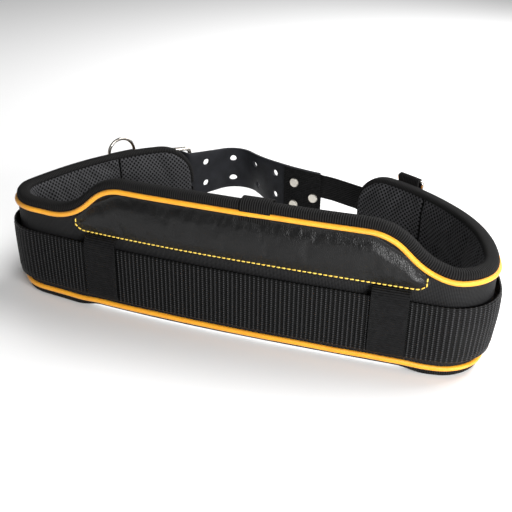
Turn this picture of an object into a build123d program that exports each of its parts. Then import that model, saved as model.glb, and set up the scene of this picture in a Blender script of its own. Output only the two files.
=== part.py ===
"""Padded tool belt, closed and standing on its lower edge.

The belt is drawn on one plan curve, the outer face of the pad, which runs anticlockwise from the pad's
left end, along the left side, the front (the lumbar part) and the right side to the pad's right end.
A place on the belt is a distance along that curve, an offset outward from it, and a height.
The closure (strap, riveted tab, leather billet) is a second curve, from the pad's right end leftward.
"""

import math
import os

from build123d import *

os.makedirs("parts", exist_ok=True)

# Plan curve of the pad: (length, left turn in degrees) of each tangent arc, in order.
PAD_START = (-113.7, 77.5)
PAD_HEADING = 214.0
LEFT_ARCS = [(30, 4), (25, 10), (45, 14), (45, 10), (45, 6), (59.7, 95), (195, 7)]
RIGHT_ARCS = [(163, 2), (59.1, 94), (50, 17), (45, 16), (55, 13), (45, 13), (30, 2)]
PAD_ARCS = LEFT_ARCS + RIGHT_ARCS
MIDDLE = sum(length for length, turn in LEFT_ARCS)
PAD_LENGTH = sum(length for length, turn in PAD_ARCS)

# Pad outline.
SIDE_TOP = 95.5
REAR_TOP = 89.5
CENTRE_TOP = 128.5
CENTRE_BOTTOM = 4.5
CREST_INNER = 122.0
CREST_OUTER = 158.0
CREST_RADIUS = 50.0
LOBE_INNER = 136.0
LOBE_OUTER = 152.0
END_RADIUS = 36.0
FRONT_BACK_SPLIT = -88.0
TAPER_END = 60.0

# Pad layers, as offsets from the outer face.
SHELL_IN = -1.2
BOARD_IN = -2.8
FOAM_IN = -9.5
LINING_IN = -12.0
TAPE = 1.0
TAPE_WIDTH = 7.0
BINDING_JOIN = 42.0
CENTRE_PAD_HALF = 190.0
BOARD_HALF = 150.0
BOARD_INSET = 13.0

# Trim.
PIPING = 3.6
PIPING_STAND = 3.0
PIPING_LOW = 10.0
PIPING_ENDS = 70.0
PATCH_LOW = 76.0
PATCH_HALF = 152.0
PATCH_PAD = 4.0
PATCH_SKIN = 1.2
PATCH_SEAM = 6.0
STITCH_LOW = 78.5
STITCH_WIDTH = 1.0
STITCH_THICK = 0.5

# The loop that the belt hangs from, over the middle of the upper binding.
HANG_FROM = 1.0
HANG_WIDTH = 25.0
HANG_PLY = 1.2
HANG_PLAY = 1.1
HANG_DROP = 9.0

# Webbing.
WEB_LOW = 18.0
WEB_HIGH = 68.0
WEB_MIDDLE = (WEB_LOW + WEB_HIGH) / 2
WEB_IN = 4.5
WEB_OUT = 6.5
WEB_HALF = (WEB_OUT - WEB_IN) / 2
WEB_LEAVES = 144.7
WEB_SHORT = 12.0
WEB_FROM_HEEL = 8.0
WEB_HEM = 34.0
HEM_HALF = 2.4
KEEPER_AT = 124.0
KEEPER_WIDTH = 29.5
KEEPER_PLY = 1.6
KEEPER_LOW = 16.0
KEEPER_HIGH = 75.6
LEFT_LOOP_AT = 74.0
RIGHT_LOOP_FROM_END = 52.0
LOOP_WIDTH = 23.0
LOOP_LOW = 72.0
LOOP_PLY = 1.4
LOOP_TAPER = 12.0

# D-rings: wire, half width of the centre line, corner radius, and clearance on the straight bar.
RING_WIRE = 1.6
RING_HALF = 14.1
RING_CORNER = 2.2
RING_BAR_Z = {"left": 85.0, "right": 92.0}
RING_BAR_OUT = 6.2
RING_FIT = 0.05
RING_HANG = 14.0

# Closure curve: (length, left turn) from the pad's right end to the inner side of the buckle's roller.
STRAP_OFFSET = 3.4
STRAP_WIDTH = 25.0
STRAP_HALF = 1.0
STRAP_LOW = 42.5
STRAP_TUCK = 60.0
STRAP_ARCS = [(30, 0), (20, 14)]
TAB_ARCS = [(44.5, -11)]
BILLET_ARCS = [(45, -20), (12, 0), (37, 93), (27, -4), (12, -13)]
TAB_THICK = 2.0
BILLET_THICK = 3.5
HOLE_RADIUS = 3.5
HOLE_SPACING = 25.0
HOLE_PITCH = 33.25
HOLE_PAIRS = 7
FIRST_HOLES = 14.8
BILLET_FROM = 3.0
RIVET_HEAD = 5.2
RIVET_HEAD_HIGH = 1.4
RIVET_SHANK = 2.4
RIVET_TAPER = 25.0
RIVET_DROP = 3.0
RIVET_ROWS = (13.0, 36.0)
BURR_THICK = 1.0

# Buckle: a round-wire frame with a roller, a heel bar and two prongs.
FRAME_WIRE = 2.2
FRAME_LENGTH = 44.0
FRAME_HALF = 29.0
FRAME_CORNER = 5.0
ROLLER_OUT = 3.4
ROLLER_FIT = 0.05
ROLLER_HALF = 21.0
GAP = 0.3
PRONG_WIRE = 1.5
PRONG_EYE = 4.0
PRONG_EYE_HALF = 2.2
PRONG_FOOT = 2.9
PRONG_ROUND = 0.9
CHAPE_THICK = 2.0
CHAPE_LENGTH = 38.0
CHAPE_IN = 2.45
CHAPE_RIVETS = [(16, 15), (16, -15), (30, 15), (30, -15)]
CHAPE_RIVET_HEAD = 4.0
CHAPE_RIVET_HIGH = 1.2
STEP_TURN = 60.0
TAIL_STAND = 8.0
TAIL_RADIUS = 45.0
TAIL_RUN = 82.0
TIP = 13.0

# The keeper that holds the billet's tail to the webbing, and slides along both.
SLIDER_AT = 62.0
SLIDER_LENGTH = 16.0
SLIDER_WALL = 2.0
SLIDER_PLAY = 0.7

# How far cutters reach past the belt, and past a pad end.
BIG = 400.0
PAST = 20.0


def walk(start, heading, arcs, distance):
    """Place and heading in degrees at a distance along a chain of tangent arcs."""
    x, y = start
    for length, turn in arcs:
        step = min(distance, length)
        bend = math.radians(turn) * step / length
        half = bend / 2
        chord = step * math.sin(half) / half if abs(half) > 1e-9 else step
        middle = math.radians(heading) + half
        x += chord * math.cos(middle)
        y += chord * math.sin(middle)
        heading += math.degrees(bend)
        distance -= step
        if distance <= 0:
            break
    if distance > 0:
        x += distance * math.cos(math.radians(heading))
        y += distance * math.sin(math.radians(heading))
    return x, y, heading % 360


def outward(x, y, heading, offset):
    """The point moved to the right of its heading, which is the belt's outer side."""
    side = math.radians(heading - 90)
    return x + offset * math.cos(side), y + offset * math.sin(side)


def trace(start, heading, arcs, offset, first, last):
    """Draws a chain between two distances, offset outward, in the open BuildLine."""
    done = 0.0
    for length, turn in arcs:
        begin = max(first, done)
        end = min(last, done + length)
        if end - begin > 1e-6:
            x, y, facing = walk(start, heading, arcs, begin)
            at = outward(x, y, facing, offset)
            bend = math.radians(turn) * (end - begin) / length
            way = (math.cos(math.radians(facing)), math.sin(math.radians(facing)))
            if abs(bend) < 1e-9:
                Line(at, (at[0] + way[0] * (end - begin), at[1] + way[1] * (end - begin)))
            else:
                radius = abs((end - begin) / bend + offset)
                JernArc(start=at, tangent=way, radius=radius, arc_size=math.degrees(bend))
        done += length


def chain_band(start, heading, arcs, inner, outer, first, last):
    """Fills the strip between two offsets of a chain in the open BuildSketch."""
    with BuildLine() as rim:
        trace(start, heading, arcs, inner, first, last)
        trace(start, heading, arcs, outer, first, last)
        for distance in (first, last):
            x, y, facing = walk(start, heading, arcs, distance)
            Line(outward(x, y, facing, inner), outward(x, y, facing, outer))
    make_face(rim.edges())


def pad_band(inner, outer, first, last):
    """A strip of the pad's plan curve in the open BuildSketch."""
    chain_band(PAD_START, PAD_HEADING, PAD_ARCS, inner, outer, first, last)


def station(start, heading, arcs, distance, offset, height):
    """A plane on a chain: X along it, Y inward, Z up."""
    x, y, facing = walk(start, heading, arcs, distance)
    at = outward(x, y, facing, offset)
    way = (math.cos(math.radians(facing)), math.sin(math.radians(facing)), 0)
    return Plane(origin=(*at, height), x_dir=way, z_dir=(0, 0, 1))


def pad_station(distance, offset=0.0, height=0.0):
    """A plane on the pad's plan curve."""
    return station(PAD_START, PAD_HEADING, PAD_ARCS, distance, offset, height)


MIDDLE_X = walk(PAD_START, PAD_HEADING, PAD_ARCS, MIDDLE)[0]


def crest(drop):
    """Draws the front's top line, moved in by drop, in the open BuildLine."""
    slope = math.atan2(CENTRE_TOP - SIDE_TOP, CREST_OUTER - CREST_INNER)
    shift = drop * math.tan(slope / 2)
    high, low = CENTRE_TOP - drop, SIDE_TOP - drop
    inner, outer = CREST_INNER - shift, CREST_OUTER - shift
    return FilletPolyline(
        (MIDDLE_X - BIG, low),
        (MIDDLE_X - outer, low),
        (MIDDLE_X - inner, high),
        (MIDDLE_X + inner, high),
        (MIDDLE_X + outer, low),
        (MIDDLE_X + BIG, low),
        radius=CREST_RADIUS,
    )


def above_crest(drop):
    """The space above the pad's top line moved in by drop: front part, then the tapering rear."""
    with BuildPart() as space:
        with BuildSketch(Plane.XZ.offset(-FRONT_BACK_SPLIT)):
            with BuildLine():
                line = crest(drop)
                Polyline(line @ 1, (MIDDLE_X + BIG, BIG), (MIDDLE_X - BIG, BIG), line @ 0)
            make_face()
        extrude(amount=BIG)
        with BuildSketch(Plane.YZ):
            with BuildLine():
                Polyline(
                    (FRONT_BACK_SPLIT, SIDE_TOP - drop),
                    (TAPER_END, REAR_TOP - drop),
                    (BIG, REAR_TOP - drop),
                    (BIG, BIG),
                    (FRONT_BACK_SPLIT, BIG),
                    close=True,
                )
            make_face()
        extrude(amount=BIG, both=True)
    return space.part


def below_edge(rise):
    """The space under the pad's lower edge: the front is cut away between the two lobes."""
    with BuildPart() as space:
        with BuildSketch(Plane.XZ.offset(-FRONT_BACK_SPLIT)):
            with BuildLine():
                Polyline(
                    (MIDDLE_X - LOBE_OUTER, 0),
                    (MIDDLE_X - LOBE_INNER, CENTRE_BOTTOM),
                    (MIDDLE_X + LOBE_INNER, CENTRE_BOTTOM),
                    (MIDDLE_X + LOBE_OUTER, 0),
                    close=True,
                )
            make_face()
            if rise:
                offset(amount=rise, kind=Kind.INTERSECTION)
        extrude(amount=BIG)
        if rise:
            with BuildSketch(Plane.XY):
                Rectangle(BIG * 2, BIG * 2)
            extrude(amount=rise)
    return space.part


def end_corners(margin):
    """The four corners that the rounded pad ends leave out."""
    radius = END_RADIUS - margin
    with BuildPart() as corners:
        for distance, way in ((margin, 1), (PAD_LENGTH - margin, -1)):
            for height, up in ((margin, 1), (REAR_TOP - margin, -1)):
                at = pad_station(distance, 0, height)
                wall = Plane(origin=at.origin, x_dir=at.x_dir, z_dir=-at.y_dir)
                with BuildSketch(wall):
                    with BuildLine():
                        Line((way * radius, 0), (-way * PAST, 0))
                        Line((-way * PAST, 0), (-way * PAST, up * radius))
                        Line((-way * PAST, up * radius), (0, up * radius))
                        RadiusArc((0, up * radius), (way * radius, 0), way * up * radius)
                    make_face()
                extrude(amount=2 * PAST, both=True)
                with BuildSketch(wall):
                    with Locations((way * (radius - PAST) / 2, -up * PAST / 2)):
                        Rectangle(radius + PAST, PAST)
                extrude(amount=2 * PAST, both=True)
    return corners.part


CUTTERS = {}


def outline(margin):
    """Everything outside the pad's outline moved in by margin."""
    if margin not in CUTTERS:
        with BuildPart() as outside:
            add(above_crest(margin))
            add(below_edge(margin))
            add(end_corners(margin))
        CUTTERS[margin] = outside.part
    return CUTTERS[margin]


def pad_layer(inner, outer, margin, first=0.0, last=PAD_LENGTH):
    """A layer of the pad between two offsets, with its outline moved in by margin."""
    with BuildPart() as layer:
        with BuildSketch():
            pad_band(inner, outer, max(first, margin), min(last, PAD_LENGTH - margin))
        extrude(amount=CENTRE_TOP)
        add(outline(margin), mode=Mode.SUBTRACT)
    return layer.part


def strip(inner, outer, low, high, first, last):
    """A level band along the pad's curve."""
    with BuildPart() as band:
        with BuildSketch(Plane.XY.offset(low)):
            pad_band(inner, outer, first, last)
        extrude(amount=high - low)
    return band.part


def keep(builder, name):
    """Labels a finished piece and writes it."""
    builder.part.label = name
    export_step(builder.part, f"parts/{name}.step")


# ---- Pad ----------------------------------------------------------------------------------------

with BuildPart() as outer_shell:
    add(pad_layer(SHELL_IN, 0, TAPE))
keep(outer_shell, "outer_shell")

with BuildPart() as mesh_lining:
    add(pad_layer(LINING_IN, FOAM_IN, TAPE))
keep(mesh_lining, "mesh_lining")

with BuildPart() as stiffener_board:
    add(pad_layer(BOARD_IN, SHELL_IN, BOARD_INSET, MIDDLE - BOARD_HALF, MIDDLE + BOARD_HALF))
keep(stiffener_board, "stiffener_board")

with BuildPart() as centre_foam:
    add(pad_layer(FOAM_IN, BOARD_IN, TAPE, MIDDLE - CENTRE_PAD_HALF, MIDDLE + CENTRE_PAD_HALF))
keep(centre_foam, "centre_foam")

with BuildPart() as left_foam:
    add(pad_layer(FOAM_IN, SHELL_IN, TAPE, 0, MIDDLE - CENTRE_PAD_HALF))
keep(left_foam, "left_foam")

with BuildPart() as right_foam:
    add(pad_layer(FOAM_IN, SHELL_IN, TAPE, MIDDLE + CENTRE_PAD_HALF, PAD_LENGTH))
keep(right_foam, "right_foam")

# The binding is tape folded over the pad's edge, in an upper and a lower run that meet at the ends.
with BuildPart() as whole_binding:
    add(pad_layer(LINING_IN - TAPE, TAPE, 0))
    add(pad_layer(LINING_IN - 2 * TAPE, 2 * TAPE, TAPE_WIDTH), mode=Mode.SUBTRACT)
    add(pad_layer(LINING_IN, 0, TAPE), mode=Mode.SUBTRACT)

for name, side in (("top_binding", Keep.TOP), ("bottom_binding", Keep.BOTTOM)):
    with BuildPart() as binding:
        add(whole_binding.part)
        split(bisect_by=Plane.XY.offset(BINDING_JOIN), keep=side)
        if side == Keep.BOTTOM:
            low = PIPING_LOW - PIPING / 2
            add(strip(0, PIPING, low, BINDING_JOIN, END_RADIUS, PAD_LENGTH - END_RADIUS), mode=Mode.SUBTRACT)
    keep(binding, name)

# ---- Piping -------------------------------------------------------------------------------------

with BuildPart() as upper_piping:
    add(pad_layer(0, PIPING_STAND, TAPE_WIDTH))
    add(pad_layer(-PIPING, 2 * PIPING, TAPE_WIDTH + PIPING), mode=Mode.SUBTRACT)
    with BuildSketch(Plane.XY):
        Rectangle(BIG * 2, BIG * 2)
    extrude(amount=PIPING_ENDS, mode=Mode.SUBTRACT)
keep(upper_piping, "upper_piping")

with BuildPart() as lower_piping:
    low = PIPING_LOW - PIPING / 2
    add(strip(0, PIPING_STAND, low, low + PIPING, END_RADIUS, PAD_LENGTH - END_RADIUS))
keep(lower_piping, "lower_piping")

# ---- Lumbar patch -------------------------------------------------------------------------------


def patch_block(thick, margin):
    """The patch's outline, moved in by margin, as a block on the shell."""
    half = PATCH_HALF - margin
    with BuildPart() as block:
        add(pad_layer(0, thick, TAPE_WIDTH + PIPING + margin, MIDDLE - half, MIDDLE + half))
        with BuildSketch(Plane.XY):
            Rectangle(BIG * 2, BIG * 2)
        extrude(amount=PATCH_LOW + margin, mode=Mode.SUBTRACT)
    return block.part


with BuildPart() as patch_foam:
    add(patch_block(PATCH_PAD, PATCH_SEAM))
keep(patch_foam, "patch_foam")

with BuildPart() as lumbar_patch:
    add(patch_block(PATCH_PAD + PATCH_SKIN, 0))
    add(patch_foam.part, mode=Mode.SUBTRACT)
keep(lumbar_patch, "lumbar_patch")

with BuildPart() as patch_stitching:
    face = PATCH_PAD + PATCH_SKIN
    half = PATCH_HALF - 2 * PATCH_SEAM
    high = STITCH_LOW + STITCH_WIDTH
    add(strip(face, face + STITCH_THICK, STITCH_LOW, high, MIDDLE - half, MIDDLE + half))
keep(patch_stitching, "patch_stitching")

with BuildPart() as hang_loop:
    first, last = MIDDLE + HANG_FROM, MIDDLE + HANG_FROM + HANG_WIDTH
    fold = CENTRE_TOP + HANG_PLY + HANG_PLAY
    inside = LINING_IN - TAPE
    add(strip(inside - HANG_PLY, TAPE + HANG_PLY, fold - HANG_DROP, fold, first, last))
    add(strip(inside, TAPE, 0, fold - HANG_PLY, first, last), mode=Mode.SUBTRACT)
keep(hang_loop, "hang_loop")

# ---- Closure curve and buckle places ------------------------------------------------------------

CLOSURE_ARCS = STRAP_ARCS + TAB_ARCS + BILLET_ARCS
x, y, facing = walk(PAD_START, PAD_HEADING, PAD_ARCS, PAD_LENGTH)
CLOSURE = (outward(x, y, facing, STRAP_OFFSET), facing, CLOSURE_ARCS)
STRAP_END = sum(length for length, turn in STRAP_ARCS)
TAB_END = STRAP_END + sum(length for length, turn in TAB_ARCS)
CLOSURE_END = sum(length for length, turn in CLOSURE_ARCS)
BILLET_MID = TAB_THICK / 2 + BILLET_THICK / 2

# The roller's centre is one bend radius outside the billet's middle line.
ROLLER_BEND = ROLLER_OUT + GAP + BILLET_THICK / 2
x, y, FRAME_FACING = walk(*CLOSURE, CLOSURE_END)
ROLLER_AT = outward(x, y, FRAME_FACING, BILLET_MID + ROLLER_BEND)
HEEL_AT = walk(ROLLER_AT, FRAME_FACING, [], FRAME_LENGTH)[:2]
FRAME_PLANE = Plane(
    origin=(*ROLLER_AT, WEB_MIDDLE),
    x_dir=(-math.cos(math.radians(FRAME_FACING)), -math.sin(math.radians(FRAME_FACING)), 0),
    z_dir=(0, 0, 1),
)

# The webbing leaves the pad's left side on one arc that ends at the heel bar.
x, y, facing = walk(PAD_START, PAD_HEADING, PAD_ARCS, WEB_LEAVES)
leave = outward(x, y, facing, (WEB_IN + WEB_OUT) / 2)
chord = math.degrees(math.atan2(leave[1] - HEEL_AT[1], leave[0] - HEEL_AT[0])) % 360
WEB_FACING = 2 * chord - facing
WEB_TURN = facing - WEB_FACING
half_turn = math.radians(WEB_TURN) / 2
WEB_RUN = math.dist(leave, HEEL_AT) * half_turn / math.sin(half_turn)
LEFT_WEB = (HEEL_AT, WEB_FACING, [(WEB_RUN, WEB_TURN)])
WEB_WAY = (math.cos(math.radians(WEB_FACING)), math.sin(math.radians(WEB_FACING)), 0)

# The billet's middle line from the roller on: up through the frame, over the heel bar, along the webbing.
STEP = ROLLER_BEND * math.radians(STEP_TURN)
STEP_RISE = 2 * ROLLER_BEND * (1 - math.cos(math.radians(STEP_TURN)))
STEP_RUN = (TAIL_STAND + ROLLER_BEND - STEP_RISE) / math.sin(math.radians(STEP_TURN))
STEP_REACH = 2 * ROLLER_BEND * math.sin(math.radians(STEP_TURN)) + STEP_RUN * math.cos(
    math.radians(STEP_TURN)
)
HEEL_TURN = WEB_FACING - FRAME_FACING
half_heel = math.tan(math.radians(HEEL_TURN) / 2)
OVER_FRAME = FRAME_LENGTH - STEP_REACH + (TAIL_STAND - TAIL_RADIUS) * half_heel
TAIL_ARCS = [
    (STEP, -STEP_TURN),
    (STEP_RUN, 0),
    (STEP, STEP_TURN),
    (OVER_FRAME, 0),
    (TAIL_RADIUS * math.radians(HEEL_TURN), HEEL_TURN),
    (TAIL_RUN, WEB_TURN * TAIL_RUN / WEB_RUN),
]
x, y, facing = walk(*CLOSURE, CLOSURE_END)
TAIL = (outward(x, y, facing, BILLET_MID), facing, TAIL_ARCS)
TAIL_END = sum(length for length, turn in TAIL_ARCS)

# ---- Webbing ------------------------------------------------------------------------------------

with BuildPart() as main_webbing:
    with BuildSketch(Plane.XY.offset(WEB_LOW)):
        pad_band(WEB_IN, WEB_OUT, WEB_LEAVES, PAD_LENGTH - WEB_SHORT)
        chain_band(*LEFT_WEB, -WEB_HALF, WEB_HALF, WEB_FROM_HEEL, WEB_RUN)
        chain_band(*LEFT_WEB, -HEM_HALF, HEM_HALF, WEB_FROM_HEEL, WEB_HEM)
    extrude(amount=WEB_HIGH - WEB_LOW)
keep(main_webbing, "main_webbing")

KEEPER_OUT = WEB_OUT + GAP

for name, middle in (("left_keeper", MIDDLE - KEEPER_AT), ("right_keeper", MIDDLE + KEEPER_AT)):
    first, last = middle - KEEPER_WIDTH / 2, middle + KEEPER_WIDTH / 2
    with BuildPart() as keeper:
        add(strip(0, KEEPER_OUT + KEEPER_PLY, KEEPER_LOW, KEEPER_HIGH, first, last))
        low, high = KEEPER_LOW + KEEPER_PLY, KEEPER_HIGH - KEEPER_PLY
        add(strip(0, KEEPER_OUT, low, high, first, last), mode=Mode.SUBTRACT)
    keep(keeper, name)

with BuildPart() as link_strap:
    with BuildSketch(Plane.XY.offset(STRAP_LOW)):
        inner, outer = STRAP_OFFSET - STRAP_HALF, STRAP_OFFSET + STRAP_HALF
        pad_band(inner, outer, PAD_LENGTH - STRAP_TUCK, PAD_LENGTH)
        chain_band(*CLOSURE, -STRAP_HALF, STRAP_HALF, 0, STRAP_END)
    extrude(amount=STRAP_WIDTH)
keep(link_strap, "link_strap")

# ---- D-rings and their webbing loops ------------------------------------------------------------

RING_PLACES = {"left": LEFT_LOOP_AT, "right": PAD_LENGTH - RIGHT_LOOP_FROM_END}


def ring_plane(side, tilt):
    """The plane of a D-ring: X along its straight bar, Y from the bar to the top of the bow."""
    at = pad_station(RING_PLACES[side], RING_BAR_OUT, RING_BAR_Z[side])
    lean = math.radians(tilt)
    bow = at.z_dir * math.cos(lean) - at.y_dir * math.sin(lean)
    return Plane(origin=at.origin, x_dir=at.x_dir, z_dir=at.x_dir.cross(bow))


for side, distance in RING_PLACES.items():
    at = pad_station(distance)
    across = Plane(origin=at.origin, x_dir=-at.y_dir, z_dir=-at.x_dir)
    with BuildPart() as ring_loop:
        with BuildSketch(across):
            bend = RING_WIRE + RING_FIT + LOOP_PLY
            near = RING_BAR_OUT - bend
            with BuildLine():
                arch = CenterArc((RING_BAR_OUT, RING_BAR_Z[side]), bend, 0, 180)
                Line(arch @ 1, (near, LOOP_LOW))
                Line((near, LOOP_LOW), (near + 2 * LOOP_PLY, LOOP_LOW))
                narrow = (near + 2 * LOOP_PLY, RING_BAR_Z[side] - LOOP_TAPER)
                Line((near + 2 * LOOP_PLY, LOOP_LOW), narrow)
                Line(narrow, arch @ 0)
            make_face()
            with Locations((RING_BAR_OUT, RING_BAR_Z[side])):
                Circle(RING_WIRE + RING_FIT, mode=Mode.SUBTRACT)
        extrude(amount=LOOP_WIDTH / 2, both=True)
    keep(ring_loop, f"{side}_ring_loop")

for side, tilt in (("left", 0), ("right", 180 - RING_HANG)):
    plane = ring_plane(side, tilt)
    with BuildPart() as d_ring:
        with BuildLine(plane) as wire:
            flat = RING_HALF - RING_CORNER
            Line((-flat, 0), (flat, 0))
            CenterArc((flat, RING_CORNER), RING_CORNER, -90, 90)
            CenterArc((0, RING_CORNER), RING_HALF, 0, 180)
            CenterArc((-flat, RING_CORNER), RING_CORNER, 180, 90)
        with BuildSketch(Plane(origin=plane.origin, z_dir=plane.x_dir)):
            Circle(RING_WIRE)
        sweep(path=wire.wire())
    keep(d_ring, f"{side}_d_ring")

# ---- Riveted tab and billet ---------------------------------------------------------------------

with BuildPart() as web_tab:
    with BuildSketch(Plane.XY.offset(WEB_LOW)):
        chain_band(*CLOSURE, -TAB_THICK / 2, TAB_THICK / 2, STRAP_END, TAB_END)
    extrude(amount=WEB_HIGH - WEB_LOW)

RIVET_PLACES = [
    (TAB_END - RIVET_ROWS[0], HOLE_SPACING / 2 - RIVET_DROP),
    (TAB_END - RIVET_ROWS[0], -HOLE_SPACING / 2 - RIVET_DROP),
    (TAB_END - RIVET_ROWS[1], -RIVET_DROP),
]


def rivet_plane(distance, height, offset):
    """A plane on the closure with Z pointing outward."""
    at = station(*CLOSURE, distance, offset, WEB_MIDDLE + height)
    return Plane(origin=at.origin, x_dir=at.x_dir, z_dir=-at.y_dir)


def hole_planes():
    """Planes on the billet's middle line at each hole, Z along the hole."""
    for pair in range(HOLE_PAIRS):
        distance = TAB_END + FIRST_HOLES + pair * HOLE_PITCH
        for height in (HOLE_SPACING / 2, -HOLE_SPACING / 2):
            if distance < CLOSURE_END:
                at = station(*CLOSURE, distance, BILLET_MID, WEB_MIDDLE + height)
            else:
                at = station(*TAIL, distance - CLOSURE_END, 0, WEB_MIDDLE + height)
            yield Plane(origin=at.origin, x_dir=at.x_dir, z_dir=-at.y_dir)


with BuildPart() as rivet_holes:
    for distance, height in RIVET_PLACES:
        with BuildSketch(rivet_plane(distance, height, -TAB_THICK)):
            Circle(RIVET_SHANK)
        extrude(amount=(TAB_THICK + BILLET_THICK) * 2)

with BuildPart() as drilled_tab:
    add(web_tab.part)
    add(rivet_holes.part, mode=Mode.SUBTRACT)
keep(drilled_tab, "web_tab")

with BuildPart() as billet:
    with BuildSketch(Plane.XY.offset(WEB_LOW)):
        inner, outer = TAB_THICK / 2, TAB_THICK / 2 + BILLET_THICK
        chain_band(*CLOSURE, inner, outer, STRAP_END + BILLET_FROM, CLOSURE_END)
        chain_band(*TAIL, -BILLET_THICK / 2, BILLET_THICK / 2, 0, TAIL_END)
    extrude(amount=WEB_HIGH - WEB_LOW)
    for plane in hole_planes():
        with BuildSketch(plane):
            Circle(HOLE_RADIUS)
        extrude(amount=BILLET_THICK, both=True, mode=Mode.SUBTRACT)
    add(rivet_holes.part, mode=Mode.SUBTRACT)
    tip = station(*TAIL, TAIL_END, 0, WEB_MIDDLE)
    with BuildSketch(Plane(origin=tip.origin, x_dir=tip.x_dir, z_dir=-tip.y_dir)):
        half = (WEB_HIGH - WEB_LOW) / 2
        for up in (1, -1):
            with BuildLine():
                side, shoulder = up * half, up * (half - TIP)
                Polyline((-TIP, side), (TIP, side), (TIP, shoulder), (0, shoulder), close=True)
            make_face()
    extrude(amount=BILLET_THICK, both=True, mode=Mode.SUBTRACT)
keep(billet, "billet")

with BuildPart() as billet_rivets:
    for distance, height in RIVET_PLACES:
        head = rivet_plane(distance, height, -TAB_THICK / 2)
        with BuildSketch(head):
            Circle(RIVET_SHANK)
        extrude(amount=TAB_THICK + BILLET_THICK + GAP + BURR_THICK)
        with BuildSketch(head):
            Circle(RIVET_HEAD)
        extrude(amount=-RIVET_HEAD_HIGH, taper=RIVET_TAPER)
keep(billet_rivets, "billet_rivets")

with BuildPart() as rivet_burrs:
    for distance, height in RIVET_PLACES:
        with BuildSketch(rivet_plane(distance, height, TAB_THICK / 2 + BILLET_THICK + GAP)):
            Circle(RIVET_HEAD)
            Circle(RIVET_SHANK, mode=Mode.SUBTRACT)
        extrude(amount=BURR_THICK)
keep(rivet_burrs, "rivet_burrs")

# ---- Buckle -------------------------------------------------------------------------------------

upright_frame = Plane(origin=FRAME_PLANE.origin, x_dir=FRAME_PLANE.x_dir, z_dir=-FRAME_PLANE.y_dir)

with BuildPart() as buckle_frame:
    with BuildLine(upright_frame) as wire:
        side, top = FRAME_HALF - FRAME_CORNER, FRAME_LENGTH - FRAME_CORNER
        Line((0, 0), (0, side))
        CenterArc((-FRAME_CORNER, side), FRAME_CORNER, 0, 90)
        Line((-FRAME_CORNER, FRAME_HALF), (-top, FRAME_HALF))
        CenterArc((-top, side), FRAME_CORNER, 90, 90)
        Line((-FRAME_LENGTH, side), (-FRAME_LENGTH, -side))
        CenterArc((-top, -side), FRAME_CORNER, 180, 90)
        Line((-top, -FRAME_HALF), (-FRAME_CORNER, -FRAME_HALF))
        CenterArc((-FRAME_CORNER, -side), FRAME_CORNER, 270, 90)
        Line((0, -side), (0, 0))
    with BuildSketch(Plane(origin=FRAME_PLANE.origin, z_dir=(0, 0, 1))):
        Circle(FRAME_WIRE)
    sweep(path=wire.wire())
keep(buckle_frame, "buckle_frame")

with BuildPart() as buckle_roller:
    with BuildSketch(FRAME_PLANE):
        Circle(ROLLER_OUT)
        Circle(FRAME_WIRE + ROLLER_FIT, mode=Mode.SUBTRACT)
    extrude(amount=ROLLER_HALF, both=True)
keep(buckle_roller, "buckle_roller")

# In the frame plane X points toward the closure and Y outward.
PRONG_TIP = ROLLER_OUT + GAP + PRONG_WIRE
for name, height in (("prong_upper", HOLE_SPACING / 2), ("prong_lower", -HOLE_SPACING / 2)):
    level = FRAME_PLANE.offset(height)
    with BuildPart() as prong:
        with BuildSketch(level):
            with Locations((-FRAME_LENGTH, 0)):
                Circle(PRONG_EYE)
        extrude(amount=PRONG_EYE_HALF, both=True)
        foot = level.from_local_coords((-FRAME_LENGTH, PRONG_FOOT, 0))
        tip = level.from_local_coords((ROLLER_OUT, PRONG_TIP, 0))
        with BuildSketch(Plane(origin=foot, z_dir=tip - foot)):
            Circle(PRONG_WIRE)
        extrude(amount=(tip - foot).length)
        fillet(prong.edges().filter_by(GeomType.CIRCLE).sort_by_distance(tip)[0], PRONG_ROUND)
        with BuildSketch(level):
            with Locations((-FRAME_LENGTH, 0)):
                Circle(FRAME_WIRE + ROLLER_FIT)
        extrude(amount=PRONG_EYE_HALF * 2, both=True, mode=Mode.SUBTRACT)
    keep(prong, name)

CHAPE_OUT = CHAPE_IN + CHAPE_THICK


def chape_plane(distance, height, offset):
    """A plane on the left webbing with Z pointing outward."""
    at = station(*LEFT_WEB, distance, offset, WEB_MIDDLE + height)
    return Plane(origin=at.origin, x_dir=at.x_dir, z_dir=-at.y_dir)


with BuildPart() as chape:
    with BuildSketch(Plane.XY.offset(WEB_LOW)):
        chain_band(*LEFT_WEB, CHAPE_IN, CHAPE_OUT, 0, CHAPE_LENGTH)
        chain_band(*LEFT_WEB, -CHAPE_OUT, -CHAPE_IN, 0, CHAPE_LENGTH)
    extrude(amount=WEB_HIGH - WEB_LOW)
    with BuildSketch(Plane(origin=(*HEEL_AT, WEB_LOW), x_dir=WEB_WAY, z_dir=(0, 0, 1))):
        Circle(CHAPE_OUT)
        Circle(CHAPE_IN, mode=Mode.SUBTRACT)
        with Locations((CHAPE_OUT, 0)):
            Rectangle(CHAPE_OUT * 2, CHAPE_OUT * 3, mode=Mode.SUBTRACT)
    extrude(amount=WEB_HIGH - WEB_LOW)
    for height in (HOLE_SPACING / 2, -HOLE_SPACING / 2):
        with BuildSketch(Plane.XY.offset(WEB_MIDDLE + height)):
            with Locations(HEEL_AT):
                Circle(CHAPE_OUT + PRONG_EYE)
        extrude(amount=PRONG_EYE_HALF + GAP, both=True, mode=Mode.SUBTRACT)
keep(chape, "chape")

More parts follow.
